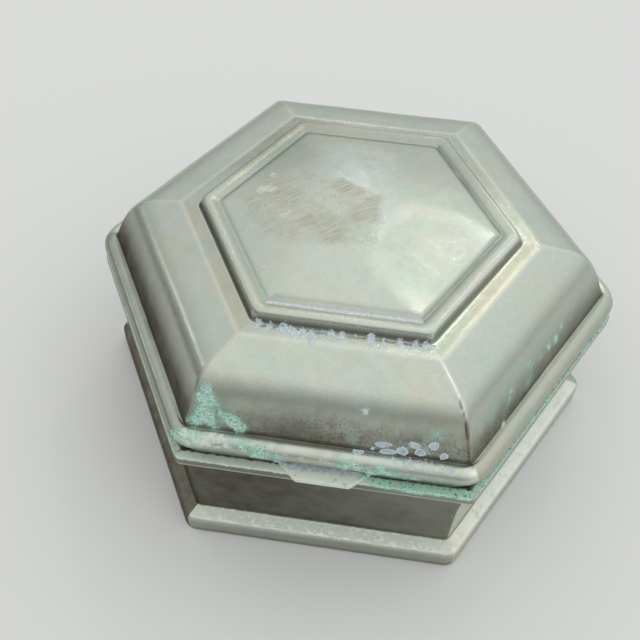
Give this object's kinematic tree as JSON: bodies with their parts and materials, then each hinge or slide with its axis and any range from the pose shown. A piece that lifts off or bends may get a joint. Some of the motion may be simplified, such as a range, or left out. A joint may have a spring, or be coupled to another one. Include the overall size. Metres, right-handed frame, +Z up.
{
  "type": "jewelry box",
  "caption": "Hexagonal cast metal box with a domed lift-off lid, raised frame on top, edge bead, thumb tab and moulded base.",
  "frame": {"origin": "middle of the flat underside, on the surface that the box stands on", "axes": "+Z up, -Y to the front with the thumb tab, +X to the right, from corner to corner of the hexagon"},
  "size_m": [0.1196, 0.1062, 0.0558],
  "materials": {
    "body_metal": "worn, tarnished silvering over copper alloy, brown in the wall's recess, green at the rim",
    "lid_metal": "worn satin silvering over copper alloy, pale grey-green, with verdigris spots and crust"
  },
  "bodies": {
    "root": {"box_body": "body_metal", "lid": "lid_metal"}
  },
  "joints": []
}
